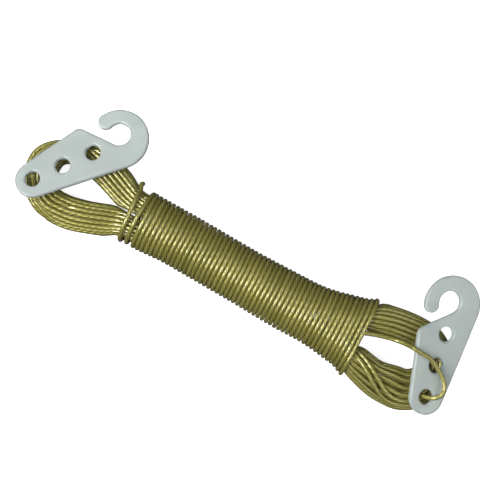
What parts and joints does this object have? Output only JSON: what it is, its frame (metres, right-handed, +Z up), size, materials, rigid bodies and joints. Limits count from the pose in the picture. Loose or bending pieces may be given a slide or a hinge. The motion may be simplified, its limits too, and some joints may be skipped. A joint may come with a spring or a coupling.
{
  "type": "hank of coated clothesline",
  "caption": "Hank of thin coated clothesline folded in long loops, its waist wound tightly with line, with a flat plastic line hook on each end.",
  "frame": {"origin": "on the flat underside of the waist winding, under the middle of the waist", "axes": "+X along the hank towards its right loop, +Y towards the free side of the hooks, +Z up from the surface the hank lies on"},
  "size_m": [0.2193, 0.0673, 0.0273],
  "materials": {
    "line": "clear golden olive jacket, glossy",
    "wire": "bright twisted strand",
    "hook": "milky translucent, soft gloss"
  },
  "bodies": {
    "hank": {"inner_loops": "line", "outer_loops": "line", "waist_winding": "line", "winding_wire": "wire", "left_tie": "line", "left_tie_wire": "wire", "right_lead": "line"},
    "left_hook": {"hook_left": "hook"},
    "right_hook": {"hook_right": "hook", "right_tie": "line", "right_tie_wire": "wire"}
  },
  "joints": [
    {"name": "left_hook_swivel", "type": "hinge", "parent": "hank", "child": "left_hook", "pos_m": [-0.1012, -0.0085, 0.0186], "axis": [-0.1906, 0.1489, 0.9703], "range_deg": [-15, 75]},
    {"name": "right_hook_swivel", "type": "hinge", "parent": "hank", "child": "right_hook", "pos_m": [0.0862, 0.0071, 0.0263], "axis": [0.336, 0.0641, 0.9397], "range_deg": [-75, 10], "deforming": ["right_lead"]}
  ]
}
